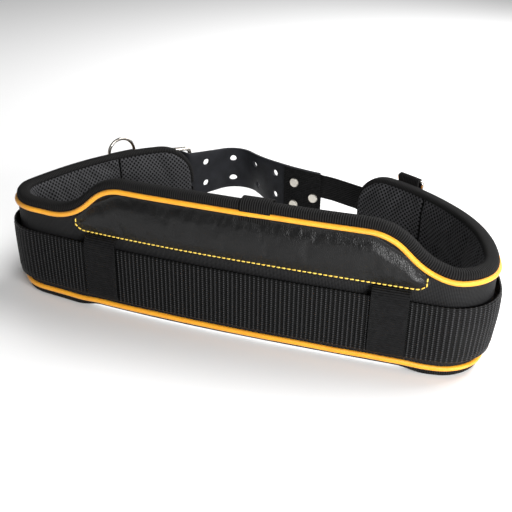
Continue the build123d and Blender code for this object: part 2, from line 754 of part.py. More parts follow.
with BuildPart() as chape_rivets:
    for distance, height in CHAPE_RIVETS:
        with BuildSketch(chape_plane(distance, height, CHAPE_OUT)):
            Circle(CHAPE_RIVET_HEAD)
        extrude(amount=CHAPE_RIVET_HIGH, taper=RIVET_TAPER)
keep(chape_rivets, "chape_rivets")

# ---- Sliding keeper for the billet's tail -------------------------------------------------------

with BuildPart() as tail_keeper:
    at = station(*LEFT_WEB, SLIDER_AT, 0, WEB_MIDDLE)
    inner, outer = -WEB_HALF - SLIDER_PLAY, TAIL_STAND + BILLET_THICK / 2 + SLIDER_PLAY
    high = WEB_HIGH - WEB_MIDDLE + SLIDER_PLAY
    with BuildSketch(Plane(origin=at.origin, x_dir=-at.y_dir, z_dir=at.x_dir)):
        with Locations(((inner + outer) / 2, 0)):
            Rectangle(outer - inner + 2 * SLIDER_WALL, 2 * (high + SLIDER_WALL))
            Rectangle(outer - inner, 2 * high, mode=Mode.SUBTRACT)
    extrude(amount=SLIDER_LENGTH / 2, both=True)
keep(tail_keeper, "tail_keeper")
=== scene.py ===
"""The tool belt's visual model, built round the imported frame.

Lengths are in millimetres until a mesh is made. A place on the belt is a distance along a plan curve, an
offset outward from it, and a height.
"""

import math

import bpy
from mathutils import Matrix, Vector, geometry, noise


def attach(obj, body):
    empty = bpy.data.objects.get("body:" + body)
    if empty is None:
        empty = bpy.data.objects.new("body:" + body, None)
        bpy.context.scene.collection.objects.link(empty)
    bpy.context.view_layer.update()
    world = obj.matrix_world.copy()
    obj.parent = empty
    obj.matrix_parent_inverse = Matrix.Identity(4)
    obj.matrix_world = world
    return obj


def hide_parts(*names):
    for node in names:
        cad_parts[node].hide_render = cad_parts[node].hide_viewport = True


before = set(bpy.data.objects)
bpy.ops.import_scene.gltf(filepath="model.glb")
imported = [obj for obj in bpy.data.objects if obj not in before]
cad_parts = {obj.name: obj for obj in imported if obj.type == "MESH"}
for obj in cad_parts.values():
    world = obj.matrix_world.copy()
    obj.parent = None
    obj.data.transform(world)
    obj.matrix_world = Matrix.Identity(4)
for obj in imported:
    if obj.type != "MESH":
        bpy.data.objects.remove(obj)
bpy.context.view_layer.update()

MM = 0.001
SCENE = bpy.context.scene

# ---- The belt's plan, as in the CAD model --------------------------------------------------------

PAD_START = (-113.7, 77.5)
PAD_HEADING = 214.0
LEFT_ARCS = [(30, 4), (25, 10), (45, 14), (45, 10), (45, 6), (59.7, 95), (195, 7)]
RIGHT_ARCS = [(163, 2), (59.1, 94), (50, 17), (45, 16), (55, 13), (45, 13), (30, 2)]
PAD = (PAD_START, PAD_HEADING, LEFT_ARCS + RIGHT_ARCS)
MIDDLE = sum(length for length, turn in LEFT_ARCS)
PAD_LENGTH = sum(length for length, turn in PAD[2])
SIDE_TOP = 95.5
REAR_TOP = 89.5
CENTRE_TOP = 128.5
CENTRE_BOTTOM = 4.5
CREST_INNER = 122.0
CREST_OUTER = 158.0
CREST_RADIUS = 50.0
LOBE_INNER = 136.0
LOBE_OUTER = 152.0
END_RADIUS = 36.0
FRONT_BACK_SPLIT = -88.0
TAPER_END = 60.0
LEFT_TUCK = 2.0
RIGHT_TUCK = 4.5
TUCK_TOP = 50.0
BINDING_JOIN = 42.0
WEB_LOW = 18.0
WEB_HIGH = 68.0
WEB_MIDDLE = (WEB_LOW + WEB_HIGH) / 2
WEB_OFFSET = 5.5
WEB_SHORT = 12
WEB_FROM_HEEL = 8.0
HEM_END = 35.5
WEB_LEAVES = 144.7
STRAP_OFFSET = 3.4
STRAP_ARCS = [(30, 0), (20, 14)]
TAB_ARCS = [(44.5, -11)]
BILLET_ARCS = [(45, -20), (12, 0), (37, 93), (27, -4), (12, -13)]
BILLET_THICK = 3.5
BILLET_MID = 1.0 + BILLET_THICK / 2
FRAME_LENGTH = 44.0
ROLLER_BEND = 3.4 + 0.3 + BILLET_THICK / 2
STEP_TURN = 60.0
TAIL_STAND = 8.0
TAIL_RADIUS = 45.0
TAIL_RUN = 82.0


def clamp(value, low=0.0, high=1.0):
    return max(low, min(high, value))


def smooth(value):
    value = clamp(value)
    return value * value * (3 - 2 * value)


def walk(start, heading, arcs, distance):
    """Place and heading in degrees at a distance along a chain of tangent arcs."""
    x, y = start
    if distance < 0:
        x += distance * math.cos(math.radians(heading))
        y += distance * math.sin(math.radians(heading))
        return x, y, heading
    for length, turn in arcs:
        step = min(distance, length)
        bend = math.radians(turn) * step / length
        half = bend / 2
        chord = step * math.sin(half) / half if abs(half) > 1e-9 else step
        middle = math.radians(heading) + half
        x += chord * math.cos(middle)
        y += chord * math.sin(middle)
        heading += math.degrees(bend)
        distance -= step
        if distance <= 0:
            break
    if distance > 0:
        x += distance * math.cos(math.radians(heading))
        y += distance * math.sin(math.radians(heading))
    return x, y, heading % 360


def outward(x, y, heading, offset):
    side = math.radians(heading - 90)
    return x + offset * math.cos(side), y + offset * math.sin(side)


def place(chain, distance, offset, height):
    """A point from its distance along a chain, its offset outward and its height."""
    x, y, heading = walk(*chain, distance)
    return Vector((*outward(x, y, heading, offset), height))


def tuck(distance, height):
    """How far the pad's lower edge leans in, round the corners and along the sides."""
    away = smooth((abs(distance - MIDDLE) - 125.0) / 80.0)
    near_end = clamp((min(distance, PAD_LENGTH - distance) - 40.0) / 110.0)
    most = RIGHT_TUCK if distance > MIDDLE else LEFT_TUCK
    return most * away * near_end * clamp((TUCK_TOP - height) / TUCK_TOP)


def on_pad(distance, offset, height):
    """A point of the pad, whose lower edge leans in a little at the corners."""
    return place(PAD, distance, offset - tuck(distance, height), height)


MIDDLE_X = walk(*PAD, MIDDLE)[0]
DARTS = [86.0, MIDDLE - 168, MIDDLE + 168, PAD_LENGTH - 86]
DART_DEPTH = 3.6
RIB = 3.7
CLOSURE_ARCS = STRAP_ARCS + TAB_ARCS + BILLET_ARCS
x, y, facing = walk(*PAD, PAD_LENGTH)
CLOSURE = (outward(x, y, facing, STRAP_OFFSET), facing, CLOSURE_ARCS)
STRAP_END = sum(length for length, turn in STRAP_ARCS)
TAB_END = STRAP_END + sum(length for length, turn in TAB_ARCS)
CLOSURE_END = sum(length for length, turn in CLOSURE_ARCS)
x, y, FRAME_FACING = walk(*CLOSURE, CLOSURE_END)
ROLLER_AT = outward(x, y, FRAME_FACING, BILLET_MID + ROLLER_BEND)
HEEL_AT = walk(ROLLER_AT, FRAME_FACING, [], FRAME_LENGTH)[:2]
x, y, facing = walk(*PAD, WEB_LEAVES)
leave = outward(x, y, facing, WEB_OFFSET)
chord = math.degrees(math.atan2(leave[1] - HEEL_AT[1], leave[0] - HEEL_AT[0])) % 360
WEB_FACING = 2 * chord - facing
WEB_TURN = facing - WEB_FACING
half_turn = math.radians(WEB_TURN) / 2
WEB_RUN = math.dist(leave, HEEL_AT) * half_turn / math.sin(half_turn)
LEFT_WEB = (HEEL_AT, WEB_FACING, [(WEB_RUN, WEB_TURN)])
STEP = ROLLER_BEND * math.radians(STEP_TURN)
STEP_RISE = 2 * ROLLER_BEND * (1 - math.cos(math.radians(STEP_TURN)))
STEP_RUN = (TAIL_STAND + ROLLER_BEND - STEP_RISE) / math.sin(math.radians(STEP_TURN))
STEP_REACH = 2 * ROLLER_BEND * math.sin(math.radians(STEP_TURN))
STEP_REACH += STEP_RUN * math.cos(math.radians(STEP_TURN))
HEEL_TURN = WEB_FACING - FRAME_FACING
OVER_FRAME = FRAME_LENGTH - STEP_REACH
OVER_FRAME += (TAIL_STAND - TAIL_RADIUS) * math.tan(math.radians(HEEL_TURN) / 2)
TAIL_ARCS = [
    (STEP, -STEP_TURN),
    (STEP_RUN, 0),
    (STEP, STEP_TURN),
    (OVER_FRAME, 0),
    (TAIL_RADIUS * math.radians(HEEL_TURN), HEEL_TURN),
    (TAIL_RUN, WEB_TURN * TAIL_RUN / WEB_RUN),
]
x, y, facing = walk(*CLOSURE, CLOSURE_END)
TAIL = (outward(x, y, facing, BILLET_MID), facing, TAIL_ARCS)
TAIL_END = sum(length for length, turn in TAIL_ARCS)


def ripple(distance, height, size, seed=0.0):
    """Smooth noise from -1 to 1 over the flat belt."""
    return noise.noise(Vector((distance / size, height / size, seed)))


def crest(dx):
    """The front's top line at a distance from the middle: two fillets joined by a slope."""
    slope = math.atan2(CENTRE_TOP - SIDE_TOP, CREST_OUTER - CREST_INNER)
    reach = CREST_RADIUS * math.tan(slope / 2)
    run = reach * math.cos(slope)
    if dx < CREST_INNER - reach:
        return CENTRE_TOP
    if dx < CREST_INNER + run:
        part = dx - CREST_INNER + reach
        return CENTRE_TOP - CREST_RADIUS + math.sqrt(CREST_RADIUS**2 - part**2)
    if dx < CREST_OUTER - run:
        return CENTRE_TOP - (dx - CREST_INNER) * math.tan(slope)
    if dx < CREST_OUTER + reach:
        part = CREST_OUTER + reach - dx
        return SIDE_TOP + CREST_RADIUS - math.sqrt(CREST_RADIUS**2 - part**2)
    return SIDE_TOP


def top_of(distance):
    x, y, heading = walk(*PAD, distance)
    if y < FRONT_BACK_SPLIT:
        return crest(abs(x - MIDDLE_X))
    back = clamp((y - FRONT_BACK_SPLIT) / (TAPER_END - FRONT_BACK_SPLIT))
    return SIDE_TOP + (REAR_TOP - SIDE_TOP) * back


def bottom_of(distance):
    x, y, heading = walk(*PAD, distance)
    if y > FRONT_BACK_SPLIT:
        return 0.0
    return CENTRE_BOTTOM * smooth((LOBE_OUTER + 4 - abs(x - MIDDLE_X)) / (LOBE_OUTER + 8 - LOBE_INNER))


def corner_lift(distance, margin):
    """How far the rounded end brings the outline in at a distance."""
    radius = END_RADIUS - margin
    part = radius - (min(distance, PAD_LENGTH - distance) - margin)
    if part <= 0:
        return 0.0
    return radius - math.sqrt(max(0.0, radius**2 - min(part, radius) ** 2))


def span_at(distance, margin):
    """Lowest and highest height of the pad's face at a distance, moved in by margin."""
    lift = corner_lift(distance, margin) + margin
    return bottom_of(distance) + lift, top_of(distance) - lift


def outline_loop(step=4.0):
    """The pad's edge as (distance, height) points with normals, from the lower left corner rightward."""
    count = round((PAD_LENGTH - 2 * END_RADIUS) / step)
    level = [END_RADIUS + (PAD_LENGTH - 2 * END_RADIUS) * i / count for i in range(count + 1)]
    points = [(s, bottom_of(s)) for s in level]
    turns = [math.radians(90 * i / 12) for i in range(1, 13)]
    far = PAD_LENGTH - END_RADIUS
    high = REAR_TOP - END_RADIUS
    points += [(far + END_RADIUS * math.sin(a), END_RADIUS - END_RADIUS * math.cos(a)) for a in turns]
    points += [(PAD_LENGTH, END_RADIUS + 4.5), (PAD_LENGTH, high - 4.5)]
    points += [(far + END_RADIUS * math.cos(a), high + END_RADIUS * math.sin(a)) for a in [0] + turns[:-1]]
    points += [(s, top_of(s)) for s in reversed(level)]
    points += [(END_RADIUS - END_RADIUS * math.sin(a), high + END_RADIUS * math.cos(a)) for a in turns]
    points += [(0, high - 4.5), (0, END_RADIUS + 4.5)]
    corner = [(math.cos(a), math.sin(a)) for a in [0] + turns[:-1]]
    points += [(END_RADIUS - END_RADIUS * c, END_RADIUS - END_RADIUS * s) for c, s in corner]
    loop = []
    for i, here in enumerate(points):
        before, after = points[i - 1], points[(i + 1) % len(points)]
        way = Vector((after[0] - before[0], after[1] - before[1])).normalized()
        loop.append((here, (way[1], -way[0])))
    return loop


# ---- Meshes --------------------------------------------------------------------------------------


def new_object(name, points, faces, flats, material, replaced, body="belt"):
    """A mesh object from points in millimetres, with a flat map in metres, that rides on a body."""
    mesh = bpy.data.meshes.new(name)
    mesh.from_pydata([Vector(p) * MM for p in points], [], faces)
    if flats:
        layer = mesh.uv_layers.new(name="flat")
        for loop in mesh.loops:
            u, v = flats[loop.vertex_index]
            layer.data[loop.index].uv = (u * MM, v * MM)
    mesh.polygons.foreach_set("use_smooth", [True] * len(mesh.polygons))
    mesh.materials.append(material)
    mesh.update()
    obj = bpy.data.objects.new(name, mesh)
    SCENE.collection.objects.link(obj)
    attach(obj, body)
    if replaced:
        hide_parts(*replaced)
    return obj


def slab(us, vs, face, back):
    """Points, faces and flat map of a closed slab between two surfaces over one grid."""
    rows, cols = len(us), len(vs)
    points, flats, faces = [], [], []
    for surface in (face, back):
        for u in us:
            for v in vs:
                points.append(surface(u, v))
                flats.append((u, v))
    side = rows * cols
    for i in range(rows - 1):
        for j in range(cols - 1):
            a, b = i * cols + j, (i + 1) * cols + j
            faces.append((a, b, b + 1, a + 1))
            faces.append((side + a, side + a + 1, side + b + 1, side + b))
    rim = [(i, 0) for i in range(rows)] + [(rows - 1, j) for j in range(1, cols)]
    rim += [(i, cols - 1) for i in range(rows - 2, -1, -1)] + [(0, j) for j in range(cols - 2, 0, -1)]
    for here, after in zip(rim, rim[1:] + rim[:1]):
        a, b = here[0] * cols + here[1], after[0] * cols + after[1]
        faces.append((b, a, side + a, side + b))
    return points, faces, flats


def loft(sections, closed=False):
    """Points and faces of a tube through closed sections, with capped ends unless it closes on itself."""
    count = len(sections[0])
    points = [p for section in sections for p in section]
    faces = []
    total = len(sections)
    for i in range(total if closed else total - 1):
        k = (i + 1) % total
        for j in range(count):
            n = (j + 1) % count
            faces.append((i * count + j, i * count + n, k * count + n, k * count + j))
    if not closed:
        faces.append(tuple(range(count))[::-1])
        faces.append(tuple((total - 1) * count + j for j in range(count)))
    return points, faces


def along(first, last, step):
    count = max(1, round((last - first) / step))
    return [first + (last - first) * i / count for i in range(count + 1)]


def inflate(obj, pinned, pressure, cap, shrink=0.0, bending=0.3, frames=20):
    """Blows the piece up with Cloth from its pinned points, and keeps the result within cap millimetres."""
    rest = [v.co.copy() for v in obj.data.vertices]
    group = obj.vertex_groups.new(name="pin")
    group.add(pinned, 1.0, "REPLACE")
    cloth = obj.modifiers.new("cloth", "CLOTH")
    settings = cloth.settings
    settings.quality = 6
    settings.mass = 0.2
    settings.tension_stiffness = 12
    settings.compression_stiffness = 12
    settings.shear_stiffness = 5
    settings.bending_stiffness = bending
    settings.vertex_group_mass = "pin"
    settings.use_pressure = True
    settings.uniform_pressure_force = pressure
    settings.shrink_min = shrink
    settings.effector_weights.gravity = 0
    cloth.collision_settings.use_collision = False
    cloth.point_cache.frame_end = frames
    for number in range(1, frames + 1):
        SCENE.frame_set(number)
    shaped = obj.evaluated_get(bpy.context.evaluated_depsgraph_get())
    moved = [v.co.copy() for v in shaped.data.vertices]
    obj.modifiers.remove(cloth)
    obj.vertex_groups.remove(group)
    SCENE.frame_set(1)
    for vertex, start, end in zip(obj.data.vertices, rest, moved):
        shift = end - start
        if shift.length > cap * MM:
            shift *= cap * MM / shift.length
        vertex.co = start + shift
    obj.data.update()


# ---- Materials -----------------------------------------------------------------------------------


class Finish:
    """One procedural material, made step by step."""

    def __init__(self, name, colour, roughness, **sockets):
        self.material = bpy.data.materials.new(name)
        self.material.use_nodes = True
        self.tree = self.material.node_tree
        self.shader = self.tree.nodes["Principled BSDF"]
        self.shader.inputs["Base Color"].default_value = (*colour, 1)
        self.shader.inputs["Roughness"].default_value = roughness
        for socket, value in sockets.items():
            self.shader.inputs[socket.replace("_", " ")].default_value = value

    def node(self, kind, **values):
        node = self.tree.nodes.new(kind)
        for key, value in values.items():
            setattr(node, key, value)
        return node

    def join(self, source, target):
        self.tree.links.new(source, target)

    def math(self, operation, a, b=None):
        node = self.node("ShaderNodeMath", operation=operation)
        for socket, value in zip(node.inputs, (a, b)):
            if value is None:
                continue
            if isinstance(value, (int, float)):
                socket.default_value = value
            else:
                self.join(value, socket)
        return node.outputs[0]

    def flat(self):
        """U along the belt and V up, in millimetres."""
        parts = self.node("ShaderNodeSeparateXYZ")
        self.join(self.node("ShaderNodeUVMap", uv_map="flat").outputs[0], parts.inputs[0])
        u, v = parts.outputs[0], parts.outputs[1]
        return self.math("MULTIPLY", u, 1000.0), self.math("MULTIPLY", v, 1000.0)

    def wave(self, value, pitch, shift=0.0):
        """Cosine from -1 to 1 with a pitch in millimetres."""
        turned = self.math("MULTIPLY", value, 2 * math.pi / pitch)
        return self.math("COSINE", self.math("ADD", turned, shift))

    def cloud(self, scale, detail=3.0, roughness=0.55):
        """Noise from 0 to 1 over the piece, scale in cycles per metre."""
        node = self.node("ShaderNodeTexNoise")
        node.inputs["Scale"].default_value = scale
        node.inputs["Detail"].default_value = detail
        node.inputs["Roughness"].default_value = roughness
        self.join(self.node("ShaderNodeTexCoord").outputs["Object"], node.inputs["Vector"])
        return node.outputs["Fac"]

    def span(self, value, low, high, to_low=0.0, to_high=1.0):
        node = self.node("ShaderNodeMapRange", clamp=True)
        node.inputs["From Min"].default_value = low
        node.inputs["From Max"].default_value = high
        node.inputs["To Min"].default_value = to_low
        node.inputs["To Max"].default_value = to_high
        self.join(value, node.inputs["Value"])
        return node.outputs["Result"]

    def colours(self, value, stops):
        """Base colour from a ramp of (position, colour)."""
        ramp = self.node("ShaderNodeValToRGB").color_ramp
        while len(ramp.elements) < len(stops):
            ramp.elements.new(0.5)
        for element, (position, colour) in zip(ramp.elements, stops):
            element.position = position
            element.color = (*colour, 1)
        node = [n for n in self.tree.nodes if n.type == "VALTORGB"][-1]
        self.join(value, node.inputs["Fac"])
        self.join(node.outputs["Color"], self.shader.inputs["Base Color"])

    def rough(self, value, low, high):
        self.join(self.span(value, 0.0, 1.0, low, high), self.shader.inputs["Roughness"])

    def bump(self, height, depth, strength=1.0):
        """Adds a bump of a depth in millimetres on top of the ones before."""
        node = self.node("ShaderNodeBump")
        node.inputs["Strength"].default_value = strength
        node.inputs["Distance"].default_value = depth * MM
        self.join(height, node.inputs["Height"])
        before = self.shader.inputs["Normal"]
        if before.is_linked:
            self.join(before.links[0].from_socket, node.inputs["Normal"])
        self.join(node.outputs["Normal"], before)


def fabric_finishes():
    found = {}

    make = Finish("ribbed_tape", (0.02, 0.02, 0.021), 0.75, Specular_IOR_Level=0.08)
    u, v = make.flat()
    ribs = make.wave(u, 1.9)
    threads = make.wave(v, 0.8)
    # The colour along the ribs is painted light: painted highlight on the rib tops and painted shade in the
    # grooves.
    make.colours(make.span(ribs, -1, 1), [(0.0, (0.002, 0.002, 0.002)), (1.0, (0.016, 0.0155, 0.0155))])
    make.bump(make.cloud(900), 0.15, 0.5)
    make.bump(threads, 0.05)
    make.bump(ribs, 0.22)
    found["tape"] = make.material

    make = Finish("nylon_weave", (0.02, 0.02, 0.02), 0.65, Specular_IOR_Level=0.1)
    u, v = make.flat()
    rise = make.wave(make.math("ADD", u, v), 2.3)
    fall = make.wave(make.math("SUBTRACT", u, v), 2.3)
    twill = make.math("MULTIPLY", rise, fall)
    # The colour along the twill is painted light: painted highlight on the raised floats and painted shade
    # between them.
    make.colours(make.span(twill, -0.6, 0.8), [(0.0, (0.0012, 0.0012, 0.0012)), (1.0, (0.028, 0.028, 0.029))])
    make.bump(make.cloud(60), 0.8, 0.5)
    make.bump(twill, 0.16)
    found["shell"] = make.material

    make = Finish("spacer_mesh", (0.03, 0.03, 0.03), 0.7, Specular_IOR_Level=0.1)
    u, v = make.flat()
    lattice = make.math("MULTIPLY", make.wave(u, 4.6), make.wave(v, 4.4))
    # Painted shade: the mesh's holes are coloured near black, standing in for the shade inside them.
    holes = make.span(lattice, 0.08, 0.36)
    # The dart seams join the same mask, as painted shade in their creases.
    for dart in DARTS:
        away = make.math("ABSOLUTE", make.math("SUBTRACT", u, dart))
        holes = make.math("MAXIMUM", holes, make.span(away, 0.7, 1.3, 1.0, 0.0))
    # The last stop is the painted shade of the holes and dart creases.
    stops = [(0.0, (0.050, 0.050, 0.053)), (0.5, (0.010, 0.010, 0.010)), (1.0, (0.0004, 0.0004, 0.0004))]
    make.colours(holes, stops)
    make.bump(make.cloud(1500), 0.12, 0.6)
    make.bump(make.math("MULTIPLY", holes, -1.0), 1.1)
    found["mesh"] = make.material

    make = Finish("belt_webbing", (0.02, 0.02, 0.02), 0.45, Specular_IOR_Level=0.1)
    u, v = make.flat()
    ridge = make.wave(u, RIB, math.pi)
    beads = make.wave(v, 1.9)
    lit = make.math("MULTIPLY", make.span(ridge, 0.1, 0.95), make.span(beads, -1, 1, 0.35, 1.0))
    stops = [(0.0, (0.0012, 0.0012, 0.0012)), (0.5, (0.012, 0.012, 0.0125)), (1.0, (0.045, 0.045, 0.047))]
    make.colours(lit, stops)
    make.rough(make.cloud(40), 0.4, 0.56)
    make.bump(make.wave(u, 0.85), 0.05)
    make.bump(beads, 0.2)
    make.bump(make.cloud(1200), 0.1, 0.5)
    found["webbing"] = make.material

    make = Finish("flat_webbing", (0.02, 0.02, 0.02), 0.6, Specular_IOR_Level=0.1)
    u, v = make.flat()
    make.colours(make.cloud(300), [(0.3, (0.004, 0.004, 0.0041)), (0.7, (0.009, 0.009, 0.0093))])
    make.bump(make.wave(u, 0.9), 0.04)
    make.bump(make.wave(v, 2.0), 0.28)
    found["keeper"] = make.material

    make = Finish("piping_cord", (0.95, 0.37, 0.025), 0.42, Sheen_Weight=0.1, Subsurface_Weight=0.05)
    u, v = make.flat()
    make.colours(make.cloud(90), [(0.25, (0.84, 0.32, 0.010)), (0.75, (0.92, 0.40, 0.016))])
    make.bump(make.wave(make.math("ADD", u, v), 0.9), 0.05)
    found["piping"] = make.material

    make = Finish("stitch_thread", (0.80, 0.55, 0.06), 0.5)
    make.colours(make.cloud(400), [(0.3, (0.72, 0.46, 0.05)), (0.7, (0.90, 0.66, 0.12))])
    make.bump(make.cloud(3000), 0.1)
    found["thread"] = make.material

    return found


def leather_grain(make, size, depth):
    """Pebbled grain with a size in millimetres."""
    cells = make.node("ShaderNodeTexVoronoi", feature="DISTANCE_TO_EDGE")
    cells.inputs["Scale"].default_value = 1000.0 / size
    make.join(make.node("ShaderNodeTexCoord").outputs["Object"], cells.inputs["Vector"])
    make.bump(make.span(cells.outputs["Distance"], 0.0, 0.25), depth)


def solid_finishes():
    found = {}

    make = Finish("patch_leather", (0.0025, 0.0025, 0.0026), 0.3, Specular_IOR_Level=0.3)
    make.rough(make.cloud(70), 0.28, 0.42)
    leather_grain(make, 1.5, 0.12)
    make.bump(make.cloud(160, 2.0), 0.5, 0.5)
    found["patch"] = make.material

    make = Finish("billet_leather", (0.02, 0.021, 0.024), 0.5, Specular_IOR_Level=0.15)
    make.colours(make.cloud(80), [(0.3, (0.010, 0.0105, 0.0125)), (0.7, (0.018, 0.019, 0.023))])
    make.rough(make.cloud(150), 0.42, 0.6)
    leather_grain(make, 0.8, 0.04)
    found["billet"] = make.material

    make = Finish("nickel_plate", (0.46, 0.43, 0.39), 0.22, Metallic=1.0)
    make.rough(make.cloud(200), 0.14, 0.3)
    make.bump(make.cloud(500), 0.04)
    found["nickel"] = make.material

    make = Finish("rivet_nickel", (0.78, 0.74, 0.66), 0.32, Metallic=1.0)
    make.rough(make.cloud(400), 0.25, 0.45)
    make.bump(make.cloud(900), 0.05)
    found["rivet"] = make.material
    return found


FINISH = {**fabric_finishes(), **solid_finishes()}

# ---- Bindings and piping -------------------------------------------------------------------------

LOOP = outline_loop()

# (depth in from the edge, offset outward) round the folded tape's outside, then back along its inside.
TAPE_OUTSIDE = [(7, 0.9), (5.5, 1.25), (3.8, 1.3), (2.2, 0.9), (1.0, 0.0), (0.3, -1.4), (0.0, -3.0)]
TAPE_OUTSIDE += [(0, -4.8), (0.1, -6.6), (0.5, -8.2), (1.3, -9.4), (2.6, -10.1), (4.0, -10.4)]
TAPE_INSIDE = [(4.0, -9.4), (2.4, -8.8), (1.2, -7.4), (1.0, -4.8), (1.1, -2.6), (2.2, -0.6), (4.0, 0.3)]
TAPE_INSIDE += [(7, 0.0)]
PIPE_RADIUS = 2.2
PIPE_OFFSET = 1.4
PIPE_DEPTH = 8.8
PIPE_LOW = 10.2
PIPE_JOIN = 71.0
CIRCLE = [2 * math.pi * k / 12 for k in range(12)]


def run_of(keep):
    """The part of the outline loop where keep(height) holds, as one run of (point, normal, length)."""
    start = next(i for i in range(len(LOOP)) if keep(LOOP[i][0][1]) and not keep(LOOP[i - 1][0][1]))
    run, length, last = [], 0.0, None
    for i in range(len(LOOP)):
        here, normal = LOOP[(start + i) % len(LOOP)]
        if not keep(here[1]):
            break
        if last:
            length += math.dist(here, last)
        run.append((here, normal, length))
        last = here
    return run


def swept_trim(name, run, profile, wobble, material, replaced):
    """A closed profile of (depth, offset) swept along a run of the pad's edge."""
    girth = [0.0]
    for before, after in zip(profile, profile[1:]):
        girth.append(girth[-1] + math.dist(before, after))
    sections, flats = [], []
    for (s, z), (ns, nz), length in run:
        shift = wobble * ripple(s, z, 38.0, 3.1)
        section = []
        for depth, offset in profile:
            inward = depth + shift * 0.4
            section.append(on_pad(s - ns * inward, offset + shift, z - nz * inward))
        sections.append(section)
        flats += [(length, g) for g in girth]
    points, faces = loft(sections)
    return new_object(name, points, faces, flats, material, replaced)


upper_run = run_of(lambda z: z >= BINDING_JOIN)
lower_run = run_of(lambda z: z < BINDING_JOIN)
for name, run in (("top_binding_tape", upper_run), ("bottom_binding_tape", lower_run)):
    node = name.replace("_tape", "")
    swept_trim(name, run, TAPE_OUTSIDE + TAPE_INSIDE, 0.35, FINISH["tape"], [node])

pipe = [(PIPE_DEPTH - PIPE_RADIUS * math.cos(a), PIPE_OFFSET + PIPE_RADIUS * math.sin(a)) for a in CIRCLE]
pipe_run = run_of(lambda z: z >= PIPE_JOIN)
swept_trim("upper_piping_cord", pipe_run, pipe, 0.3, FINISH["piping"], ["upper_piping"])

sections, flats = [], []
for s in along(34.0, PAD_LENGTH - 34.0, 4.0):
    shift = 0.35 * ripple(s, 0.0, 30.0, 8.8)
    level = PIPE_LOW + shift - 1.6 * (1 - bottom_of(s) / CENTRE_BOTTOM)
    ring = []
    for k, a in enumerate(CIRCLE):
        ring.append(on_pad(s, PIPE_OFFSET + PIPE_RADIUS * math.sin(a), level + PIPE_RADIUS * math.cos(a)))
        flats.append((s, k))
    sections.append(ring)
points, faces = loft(sections)
new_object("lower_piping_cord", points, faces, flats, FINISH["piping"], ["lower_piping"])

# ---- Padded body ---------------------------------------------------------------------------------

FACE_MARGIN = 3.0
ACROSS = [0.5 - 0.5 * math.cos(math.pi * i / 24) * (1 - 0.25 * math.sin(math.pi * i / 24)) for i in range(25)]


def pad_height(s, v, margin=FACE_MARGIN):
    low, high = span_at(s, margin)
    return low + (high - low) * v


def lining_face(s, v):
    """The inner face: thin at the tape, full a little way in."""
    z = pad_height(s, v)
    low, high = span_at(s, FACE_MARGIN)
    rim = min(z - low, high - z, min(s, PAD_LENGTH - s) - FACE_MARGIN)
    return on_pad(s, -9.2 - 3.4 * math.sqrt(clamp(rim / 16.0)), z)


def lining_back(s, v):
    return on_pad(s, -1.4, pad_height(s, v))


steps = [s for s in along(FACE_MARGIN, PAD_LENGTH - FACE_MARGIN, 4.5) if min(abs(s - d) for d in DARTS) > 2.9]
steps = sorted(steps + [d + part for d in DARTS for part in (-1.5, 0.0, 1.5)])
points, faces, flats = slab(steps, ACROSS, lining_back, lining_face)
flats = [(s, pad_height(s, v)) for s, v in flats]
lining = new_object(
    "padded_lining",
    points,
    faces,
    flats,
    FINISH["mesh"],
    ["mesh_lining", "centre_foam", "left_foam", "right_foam", "stiffener_board"],
)
half = len(steps) * len(ACROSS)
pinned = list(range(half))
for i, s in enumerate(steps):
    for j, v in enumerate(ACROSS):
        dart = min(abs(s - d) for d in DARTS) < 0.5
        if dart or i in (0, len(steps) - 1) or j in (0, 1, len(ACROSS) - 2, len(ACROSS) - 1):
            pinned.append(half + i * len(ACROSS) + j)
            if dart and 1 < j < len(ACROSS) - 2:
                vertex = lining.data.vertices[pinned[-1]]
                x, y, heading = walk(*PAD, s)
                side = math.radians(heading - 90)
                vertex.co += Vector((math.cos(side), math.sin(side), 0)) * DART_DEPTH * MM
inflate(lining, pinned, 4.0, 5.0, shrink=-0.03)
lining.modifiers.new("finer", "SUBSURF").levels = 1


def shell_face(s, v):
    z = pad_height(s, v)
    rim = min(v, 1 - v) * 2
    puff = 1.0 * smooth(rim * 4) + 0.5 * ripple(s, z, 22.0, 1.7)
    return on_pad(s, max(0.1, puff) if 0.03 < v < 0.97 else 0.1, z)


points, faces, flats = slab(along(FACE_MARGIN, PAD_LENGTH - FACE_MARGIN, 4.0), ACROSS, shell_face,
                            lambda s, v: on_pad(s, -1.2, pad_height(s, v)))
flats = [(s, pad_height(s, v)) for s, v in flats]
shell = new_object("outer_shell_panel", points, faces, flats, FINISH["shell"], ["outer_shell"])

# ---- Lumbar patch and its stitches ---------------------------------------------------------------

PATCH_HALF = 152.0
PATCH_LOW = 75.5
PATCH_SEAM = 3.2
PATCH_CORNER = 11.0


def outward_way(s):
    x, y, heading = walk(*PAD, s)
    side = math.radians(heading - 90)
    return Vector((math.cos(side), math.sin(side), 0))


def patch_span(dx):
    """Lowest and highest height of the patch at a distance from the middle."""
    top = crest(abs(dx)) - 10.9 - 4.0 * smooth((abs(dx) - 104) / 18) * smooth((166 - abs(dx)) / 14)
    part = abs(dx) - (PATCH_HALF - PATCH_CORNER)
    lift = PATCH_CORNER - math.sqrt(max(0.0, PATCH_CORNER**2 - max(0.0, part) ** 2))
    low = PATCH_LOW + min(lift, 0.8 * PATCH_CORNER)
    return low, max(top, low + 3.0)


def patch_point(dx, v, offset):
    low, high = patch_span(dx)
    return on_pad(MIDDLE + dx, offset, low + (high - low) * v)


def seam_distance(dx, v):
    low, high = patch_span(dx)
    z = low + (high - low) * v
    return min(z - low, high - z, PATCH_HALF - abs(dx))


def patch_face(dx, v):
    inside = seam_distance(dx, v) - PATCH_SEAM
    return patch_point(dx, v, 1.9 + 2.6 * smooth(inside / 9))


